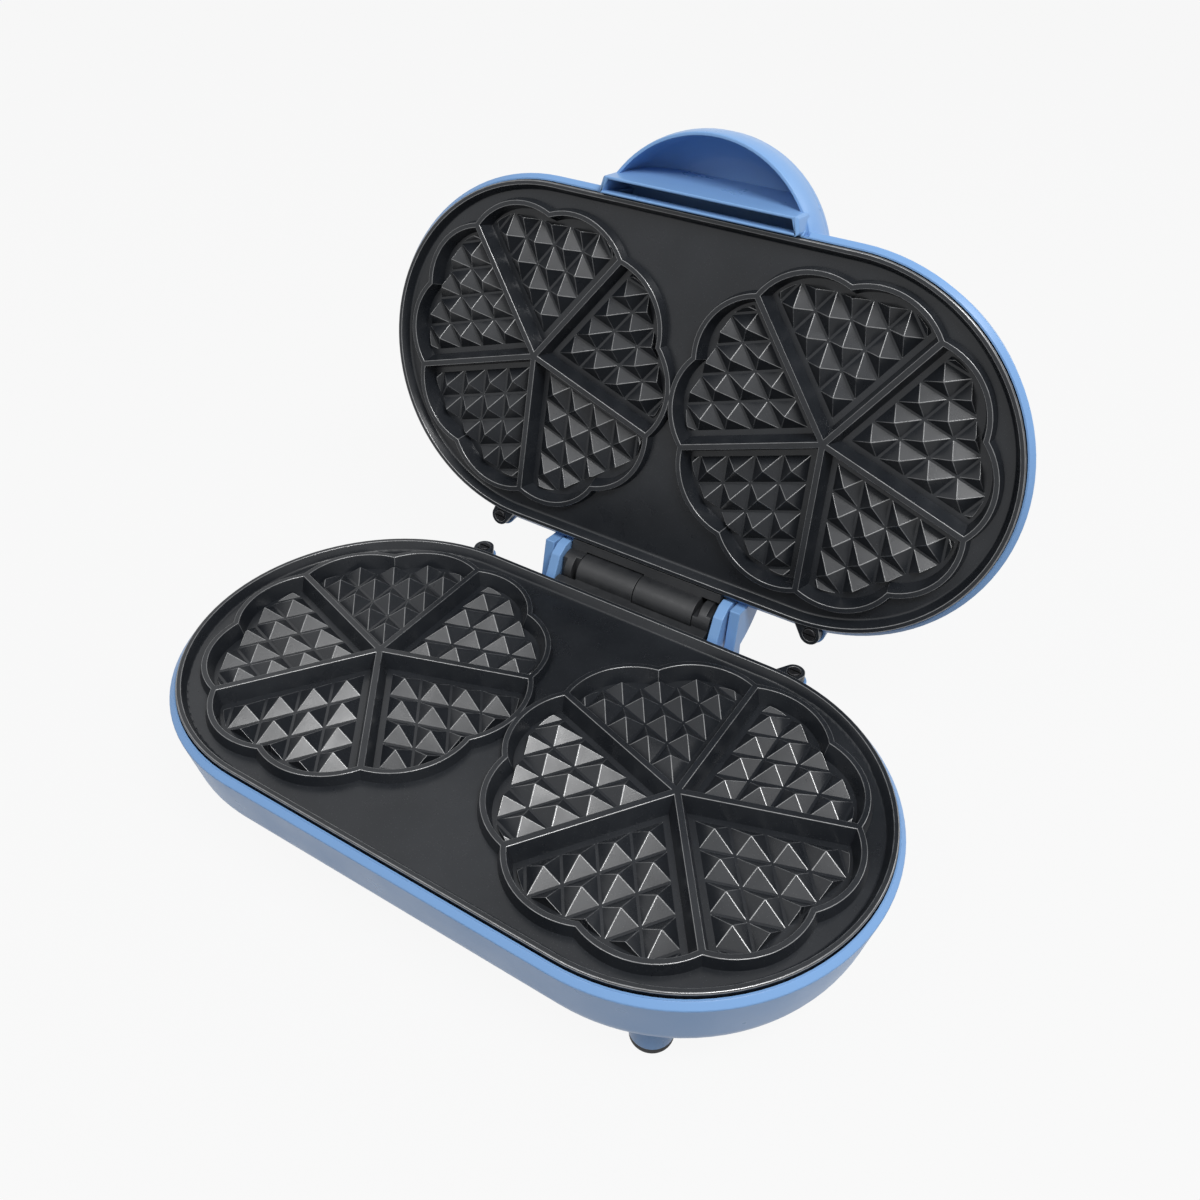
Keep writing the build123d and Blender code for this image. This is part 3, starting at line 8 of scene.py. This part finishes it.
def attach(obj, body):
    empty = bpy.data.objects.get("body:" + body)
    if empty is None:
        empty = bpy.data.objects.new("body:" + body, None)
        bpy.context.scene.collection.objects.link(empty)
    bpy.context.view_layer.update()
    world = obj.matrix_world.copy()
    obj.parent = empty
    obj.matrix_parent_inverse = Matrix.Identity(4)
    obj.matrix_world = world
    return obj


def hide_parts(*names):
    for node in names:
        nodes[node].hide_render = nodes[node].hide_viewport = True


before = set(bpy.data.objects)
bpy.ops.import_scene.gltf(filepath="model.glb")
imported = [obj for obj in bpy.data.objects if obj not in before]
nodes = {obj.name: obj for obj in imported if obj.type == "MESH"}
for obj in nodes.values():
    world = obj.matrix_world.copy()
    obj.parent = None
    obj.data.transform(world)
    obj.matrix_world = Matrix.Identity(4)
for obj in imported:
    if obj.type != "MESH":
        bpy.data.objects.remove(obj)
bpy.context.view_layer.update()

# Base housing: one injection moulding in satin blue plastic, with a bevelled band at
# the rim, a rear tower for the hinge and two front legs. A mould leaves no edge quite
# sharp, so a merged copy of the solid gets small round edges.
housing_blue = (0.19, 0.35, 0.62, 1.0)
housing_blue_deep = (0.18, 0.335, 0.6, 1.0)
housing_rounding = 0.00045
housing_corner = radians(30)

# Points nearer than merge_gap become one, and so do faces that turn by less than
# flat_angle. A sliver is a face with less area than this length times its perimeter.
merge_gap = 0.00001
flat_angle = radians(0.5)
sliver = 0.00004


def broad(face):
    """Whether a face is more than a sliver."""
    return face.calc_area() > sliver * face.calc_perimeter()


def fold(edge):
    """Angle that the surface turns by at an edge, below zero in an inner corner."""
    return edge.calc_face_angle_signed(0.0) if edge.is_manifold else 0.0


def select_edges(piece, wanted):
    """Select the edges of a piece in edit mode that a test picks out."""
    bpy.ops.mesh.select_all(action="DESELECT")
    shape = bmesh.from_edit_mesh(piece.data)
    for edge in shape.edges:
        edge.select_set(wanted(edge))
    bmesh.update_edit_mesh(piece.data)


def finished_copy(node, name, rounding, corner, skin, edge_skin):
    """Copy of a CAD node, merged, with rounded outer edges and even shading.

    An outer edge that turns by more than the corner angle is rounded, unless a face
    beside it is a sliver. Inner corners stay sharp, and so does each fold of more than
    twice the corner angle that is left where rounded edges meet.
    """
    piece = bpy.data.objects.new(name, nodes[node].data.copy())
    bpy.context.scene.collection.objects.link(piece)
    piece.data.materials.clear()
    piece.data.materials.append(skin)
    piece.data.materials.append(edge_skin)
    edge_slot = len(piece.data.materials) - 1
    bpy.ops.object.select_all(action="DESELECT")
    piece.select_set(True)
    bpy.context.view_layer.objects.active = piece
    bpy.ops.object.mode_set(mode="EDIT")
    bpy.ops.mesh.select_mode(type="EDGE")
    bpy.ops.mesh.select_all(action="SELECT")
    bpy.ops.mesh.remove_doubles(threshold=merge_gap)
    bpy.ops.mesh.dissolve_limited(angle_limit=flat_angle)
    bpy.ops.mesh.faces_shade_smooth()
    select_edges(piece, lambda edge: fold(edge) > corner and all(map(broad, edge.link_faces)))
    bpy.ops.mesh.bevel(offset=rounding, segments=3, clamp_overlap=False, material=edge_slot)
    select_edges(piece, lambda edge: fold(edge) < -corner or fold(edge) > 2 * corner)
    bpy.ops.mesh.mark_sharp()
    bpy.ops.object.mode_set(mode="OBJECT")
    shading = piece.modifiers.new("even_shading", "WEIGHTED_NORMAL")
    shading.keep_sharp = True
    bpy.ops.object.modifier_apply(modifier=shading.name)
    return piece


def shader_of(material):
    """The node that shades a material's surface."""
    return material.node_tree.nodes["Principled BSDF"]


def new_material(name, color, roughness):
    """Material with its node tree, in one colour and roughness to build on."""
    material = bpy.data.materials.new(name)
    material.use_nodes = True
    shader = shader_of(material)
    shader.inputs["Base Color"].default_value = color
    shader.inputs["Roughness"].default_value = roughness
    return material


def add_noise(material, scale, detail):
    """Noise on object coordinates, its scale per metre; its factor is returned."""
    tree = material.node_tree
    place = tree.nodes.new("ShaderNodeTexCoord")
    noise = tree.nodes.new("ShaderNodeTexNoise")
    noise.inputs["Scale"].default_value = scale
    noise.inputs["Detail"].default_value = detail
    tree.links.new(place.outputs["Object"], noise.inputs["Vector"])
    return noise.outputs["Fac"]


def mottle(material, scale, detail, dark, light):
    """Blend two base colours in soft patches; the colour's output is returned."""
    tree = material.node_tree
    factor = add_noise(material, scale, detail)
    ramp = tree.nodes.new("ShaderNodeValToRGB")
    for stop, position, color in zip(ramp.color_ramp.elements, (0.35, 0.65), (dark, light)):
        stop.position = position
        stop.color = color
    tree.links.new(factor, ramp.inputs["Fac"])
    tree.links.new(ramp.outputs["Color"], shader_of(material).inputs["Base Color"])
    return ramp.outputs["Color"]


def vary_roughness(material, scale, detail, low, high):
    """Spread the middle of a noise over a range of roughness."""
    tree = material.node_tree
    factor = add_noise(material, scale, detail)
    spread = tree.nodes.new("ShaderNodeMapRange")
    spread.inputs["From Min"].default_value = 0.3
    spread.inputs["From Max"].default_value = 0.7
    spread.inputs["To Min"].default_value = low
    spread.inputs["To Max"].default_value = high
    tree.links.new(factor, spread.inputs["Value"])
    tree.links.new(spread.outputs["Result"], shader_of(material).inputs["Roughness"])


def add_grain(material, scale, detail, strength, height):
    """Fine relief from a noise, its height in metres."""
    tree = material.node_tree
    factor = add_noise(material, scale, detail)
    bump = tree.nodes.new("ShaderNodeBump")
    bump.inputs["Strength"].default_value = strength
    bump.inputs["Distance"].default_value = height
    tree.links.new(factor, bump.inputs["Height"])
    tree.links.new(bump.outputs["Normal"], shader_of(material).inputs["Normal"])


blue_plastic = new_material("blue_housing_plastic", housing_blue, roughness=0.32)
shader_of(blue_plastic).inputs["IOR"].default_value = 1.5
shader_of(blue_plastic).inputs["Specular IOR Level"].default_value = 0.28
mottle(blue_plastic, scale=14, detail=3, dark=housing_blue_deep, light=housing_blue)
vary_roughness(blue_plastic, scale=45, detail=4, low=0.26, high=0.36)
add_grain(blue_plastic, scale=500, detail=2, strength=0.03, height=0.0001)

base_housing = finished_copy(
    "base_shell", "base_housing", housing_rounding, housing_corner, blue_plastic, blue_plastic
)
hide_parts("base_shell")
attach(base_housing, "base")

# Foot pads: soft black rubber buttons pushed into the legs and the tower, slightly
# dusty from the worktop.
rubber_black = (0.02, 0.02, 0.022, 1.0)
rubber_dusty = (0.055, 0.055, 0.055, 1.0)
rubber = new_material("foot_rubber", (0.025, 0.025, 0.027, 1.0), roughness=0.75)
mottle(rubber, scale=60, detail=5, dark=rubber_black, light=rubber_dusty)
add_grain(rubber, scale=1600, detail=2, strength=0.3, height=0.0001)


def finish_node(name, material):
    """Give a CAD node its finish."""
    mesh = nodes[name].data
    mesh.materials.clear()
    mesh.materials.append(material)


finish_node("foot_pads", rubber)

# Baking plates: thin aluminium castings with a sprayed non-stick coat, black with a
# blue cast and fine mica flecks. The coat is thinner and more polished on the edges
# of the ribs and pyramids, where a second finish follows the rounded edges. Its paler
# colour there is partly that wear and partly a painted highlight along the edges.
coat_dark = (0.0105, 0.0122, 0.0152, 1.0)
coat_pale = (0.0180, 0.0203, 0.0242, 1.0)
coat_roughness = 0.3
plate_rounding = 0.0002
plate_corner = radians(22)

coating = new_material("plate_coating", coat_dark, coat_roughness)
shader_of(coating).inputs["IOR"].default_value = 1.5
shader_of(coating).inputs["Specular IOR Level"].default_value = 0.4
patches = mottle(coating, scale=30, detail=6, dark=coat_dark, light=coat_pale)

# A fleck is a round dot in each cell of a pattern with so many cells to the metre. It
# fades out between these two distances from the cell's centre, in cell sizes.
flecks_per_metre = 1100
fleck_inner = 0.06
fleck_outer = 0.16
fleck_strength = 0.55
fleck_color = (0.09, 0.095, 0.105, 1.0)
tree = coating.node_tree
flecks = tree.nodes.new("ShaderNodeTexVoronoi")
flecks.inputs["Scale"].default_value = flecks_per_metre
tree.links.new(tree.nodes["Texture Coordinate"].outputs["Object"], flecks.inputs["Vector"])
fleck_size = tree.nodes.new("ShaderNodeMapRange")
fleck_size.inputs["From Min"].default_value = fleck_outer
fleck_size.inputs["From Max"].default_value = fleck_inner
fleck_size.inputs["To Max"].default_value = fleck_strength
tree.links.new(flecks.outputs["Distance"], fleck_size.inputs["Value"])
fleck_mix = tree.nodes.new("ShaderNodeMix")
fleck_mix.data_type = "RGBA"
tree.links.new(fleck_size.outputs["Result"], fleck_mix.inputs["Factor"])
tree.links.new(patches, fleck_mix.inputs["A"])
fleck_mix.inputs["B"].default_value = fleck_color
tree.links.new(fleck_mix.outputs["Result"], shader_of(coating).inputs["Base Color"])
vary_roughness(coating, scale=90, detail=6, low=0.25, high=0.34)
add_grain(coating, scale=2200, detail=3, strength=0.3, height=0.00004)

# Edge finish: lighter than the coat, partly from the thinner, worn coat and partly a painted
# highlight on the rounded edges.
edge_wear_and_highlight_dark = (0.02, 0.022, 0.026, 1.0)
edge_wear_and_highlight_pale = (0.10, 0.104, 0.11, 1.0)
edge_wear_and_highlight = new_material("plate_coating_edge", (0.08, 0.083, 0.087, 1.0), coat_roughness)
shader_of(edge_wear_and_highlight).inputs["IOR"].default_value = 1.8
shader_of(edge_wear_and_highlight).inputs["Specular IOR Level"].default_value = 1.0
vary_roughness(edge_wear_and_highlight, scale=160, detail=5, low=0.22, high=0.38)
mottle(edge_wear_and_highlight, scale=260, detail=5, dark=edge_wear_and_highlight_dark, light=edge_wear_and_highlight_pale)

for node, name, body in (
    ("lower_plate", "lower_baking_plate", "base"),
    ("upper_plate", "upper_baking_plate", "lid"),
):
    plate = finished_copy(node, name, plate_rounding, plate_corner, coating, edge_wear_and_highlight)
    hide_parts(node)
    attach(plate, body)

# Lug screws: slotted steel screws in black oxide, one in each of the two lugs at the
# back of a plate.
black_oxide = new_material("black_oxide_steel", (0.02, 0.02, 0.022, 1.0), roughness=0.35)
shader_of(black_oxide).inputs["Metallic"].default_value = 0.6
vary_roughness(black_oxide, scale=700, detail=4, low=0.28, high=0.5)
for name in ("lower_lug_screws", "upper_lug_screws"):
    finish_node(name, black_oxide)

# Heating parts in each half: a steel-sheathed element tinted by heat, held by zinc
# plated bars and screws over an aluminium reflector, with a ceramic thermostat. The
# leads run in sleeves of woven glass.
zinc_steel = new_material("zinc_plated_steel", (0.55, 0.56, 0.57, 1.0), roughness=0.32)
shader_of(zinc_steel).inputs["Metallic"].default_value = 1.0
vary_roughness(zinc_steel, scale=500, detail=4, low=0.24, high=0.42)

tint_brown = (0.2, 0.15, 0.12, 1.0)
tint_violet = (0.3, 0.29, 0.33, 1.0)
heat_tint = new_material("heat_tinted_steel", (0.25, 0.2, 0.17, 1.0), roughness=0.38)
shader_of(heat_tint).inputs["Metallic"].default_value = 1.0
mottle(heat_tint, scale=40, detail=4, dark=tint_brown, light=tint_violet)

bright_sheet = new_material("bright_aluminium_sheet", (0.74, 0.75, 0.77, 1.0), roughness=0.22)
shader_of(bright_sheet).inputs["Metallic"].default_value = 1.0
vary_roughness(bright_sheet, scale=120, detail=4, low=0.16, high=0.3)

steatite_dark = (0.72, 0.68, 0.6, 1.0)
steatite_pale = (0.82, 0.79, 0.72, 1.0)
steatite = new_material("steatite_ceramic", (0.78, 0.74, 0.66, 1.0), roughness=0.45)
mottle(steatite, scale=200, detail=4, dark=steatite_dark, light=steatite_pale)

glass_sleeve = new_material("woven_glass_sleeve", (0.72, 0.69, 0.62, 1.0), roughness=0.8)
add_grain(glass_sleeve, scale=2500, detail=1, strength=0.5, height=0.0002)

for half in ("lower", "upper"):
    finish_node(half + "_heater", heat_tint)
    finish_node(half + "_heater_clips", zinc_steel)
    finish_node(half + "_clip_screws", zinc_steel)
    finish_node(half + "_reflector", bright_sheet)
    finish_node(half + "_reflector_screws", zinc_steel)
    finish_node(half + "_thermostat", steatite)
    finish_node(half + "_thermostat_screws", zinc_steel)
for name in ("base_leads", "lid_leads"):
    finish_node(name, glass_sleeve)

# Hinge: two like mouldings in black glass-filled plastic with a fine spark texture,
# screwed to the housings from inside and joined by a steel pin.
hinge_dark = (0.012, 0.013, 0.015, 1.0)
hinge_pale = (0.022, 0.023, 0.025, 1.0)
hinge_rounding = 0.0003
hinge_corner = radians(30)
hinge_black = new_material("black_hinge_plastic", (0.016, 0.017, 0.019, 1.0), roughness=0.45)
mottle(hinge_black, scale=50, detail=4, dark=hinge_dark, light=hinge_pale)
vary_roughness(hinge_black, scale=300, detail=4, low=0.38, high=0.55)
add_grain(hinge_black, scale=1800, detail=2, strength=0.5, height=0.0001)
for node, name, body in (
    ("hinge_block_base", "base_hinge_moulding", "base"),
    ("hinge_block_lid", "lid_hinge_moulding", "lid"),
):
    block = finished_copy(node, name, hinge_rounding, hinge_corner, hinge_black, hinge_black)
    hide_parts(node)
    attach(block, body)
for name in ("hinge_screws_base", "hinge_screws_lid", "hinge_pin"):
    finish_node(name, zinc_steel)

# Wiring parts in the rear tower: a cord gland with its nut and a cord clamp in black
# plastic, a ceramic terminal block, and a thermal fuse and screws in plated steel.
for name in ("cord_gland", "gland_nut", "cord_clamp"):
    finish_node(name, hinge_black)
finish_node("terminal_block", steatite)
for name in ("terminal_screws", "clamp_screws", "thermal_fuse"):
    finish_node(name, zinc_steel)

# Lid housing: one moulding in the same blue plastic, with the half-round handle, its
# slot and the ears beside the hinge.
lid_housing = finished_copy(
    "lid_shell", "lid_housing", housing_rounding, housing_corner, blue_plastic, blue_plastic
)
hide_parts("lid_shell")
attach(lid_housing, "lid")

# Pilot lamps: clear red lenses in the top of the lid, over small glass lamps in a
# black plastic holder that a screw fixes.
lens_deep = (0.5, 0.02, 0.015, 1.0)
lens_bright = (0.66, 0.04, 0.03, 1.0)
lens_red = new_material("red_lens", (0.6, 0.03, 0.02, 1.0), roughness=0.12)
shader_of(lens_red).inputs["Transmission Weight"].default_value = 0.6
mottle(lens_red, scale=300, detail=2, dark=lens_deep, light=lens_bright)
lamp_glass = new_material("lamp_glass", (0.9, 0.8, 0.7, 1.0), roughness=0.05)
shader_of(lamp_glass).inputs["Transmission Weight"].default_value = 0.9
vary_roughness(lamp_glass, scale=200, detail=2, low=0.03, high=0.1)
finish_node("lamp_lenses", lens_red)
finish_node("pilot_lamps", lamp_glass)
finish_node("lamp_holder", hinge_black)
finish_node("holder_screw", zinc_steel)

# Floor: plain and pale. To the camera and in reflections it is nearly white, because
# this share of its paint glows white there. The rest of the paint takes the object's
# shadow, which stays faint.
floor_side = 12.0
floor_grey = (0.28, 0.28, 0.28, 1.0)
floor_white_share = 0.92
white = (1.0, 1.0, 1.0, 1.0)
bpy.ops.object.select_all(action="DESELECT")
bpy.ops.mesh.primitive_plane_add(size=floor_side, location=(0, 0, 0))
floor = bpy.context.active_object
floor.name = "floor"
floor_paint = new_material("floor_paint", floor_grey, roughness=0.9)
shader_of(floor_paint).inputs["Specular IOR Level"].default_value = 0.0


def white_where_seen(tree, surface, white_kind, share):
    """White over a share of a surface, for camera, glossy and transmission rays."""
    rays = tree.nodes.new("ShaderNodeLightPath")
    seen = rays.outputs["Is Camera Ray"]
    for ray in ("Is Glossy Ray", "Is Transmission Ray"):
        either = tree.nodes.new("ShaderNodeMath")
        either.operation = "MAXIMUM"
        tree.links.new(seen, either.inputs[0])
        tree.links.new(rays.outputs[ray], either.inputs[1])
        seen = either.outputs["Value"]
    part = tree.nodes.new("ShaderNodeMath")
    part.operation = "MULTIPLY"
    part.inputs[1].default_value = share
    tree.links.new(seen, part.inputs[0])
    glow = tree.nodes.new(white_kind)
    glow.inputs["Color"].default_value = white
    mix = tree.nodes.new("ShaderNodeMixShader")
    tree.links.new(part.outputs["Value"], mix.inputs["Fac"])
    tree.links.new(surface, mix.inputs[1])
    tree.links.new(glow.outputs[0], mix.inputs[2])
    return mix.outputs["Shader"]


tree = floor_paint.node_tree
paint = shader_of(floor_paint).outputs["BSDF"]
seen_floor = white_where_seen(tree, paint, "ShaderNodeEmission", floor_white_share)
tree.links.new(seen_floor, tree.nodes["Material Output"].inputs["Surface"])
floor.data.materials.append(floor_paint)

# World: an even pale studio, all white to the camera and in reflections, and faintly
# cool and much dimmer as light on the object.
studio_tone = (0.93, 0.96, 1.0, 1.0)
studio_strength = 0.38
world = bpy.data.worlds.new("studio")
bpy.context.scene.world = world
world.use_nodes = True
tree = world.node_tree
air = tree.nodes["Background"]
air.inputs["Color"].default_value = studio_tone
air.inputs["Strength"].default_value = studio_strength
seen_air = white_where_seen(tree, air.outputs["Background"], "ShaderNodeBackground", 1.0)
tree.links.new(seen_air, tree.nodes["World Output"].inputs["Surface"])

# Lamps: a wide soft box high on the right, a smaller one in front on the left, and a
# weak one behind. Each row gives place, aim, width and depth in metres, and watts.
for name, spot, aim, width, depth, power in (
    ("right_box", (0.57, -0.28, 1.04), (0.0, 0.0, 0.05), 0.52, 0.26, 10.0),
    ("front_box", (-0.21, -0.7, 1.02), (0.0, 0.0, 0.08), 0.3, 0.3, 2.5),
    ("back_box", (0.62, 0.72, 0.66), (0.0, 0.0, 0.05), 0.4, 0.4, 1.6),
):
    bpy.ops.object.light_add(type="AREA", location=spot)
    lamp = bpy.context.active_object
    lamp.name = name
    lamp.data.shape = "RECTANGLE"
    lamp.data.size = width
    lamp.data.size_y = depth
    lamp.data.energy = power
    lamp.rotation_euler = (Vector(spot) - Vector(aim)).to_track_quat("Z", "Y").to_euler()

# Camera at the photograph's viewing angle, from the front right and above. Its lens
# axis meets the picture right of and above the middle, by these numbers of pixels.
camera_spot = (0.19583, -0.30095, 0.35129)
camera_azimuth = radians(29.514)
camera_dip = radians(26.189)
camera_roll = radians(2.344)
picture_side = 1200
focal_pixels = 1173.3
axis_right = 46.0
axis_up = 240.0
sensor_width = 36.0
bpy.ops.object.camera_add(location=camera_spot)
camera = bpy.context.active_object
turn = Matrix.Rotation(camera_azimuth, 4, "Z")
tilt = Matrix.Rotation(pi / 2 - camera_dip, 4, "X")
roll = Matrix.Rotation(camera_roll, 4, "Z")
camera.rotation_euler = (turn @ tilt @ roll).to_euler()
camera.data.sensor_width = sensor_width
camera.data.lens = sensor_width * focal_pixels / picture_side
camera.data.shift_x = -axis_right / picture_side
camera.data.shift_y = -axis_up / picture_side
camera.data.clip_start = 0.01
bpy.context.scene.camera = camera
bpy.context.scene.view_settings.view_transform = "Standard"
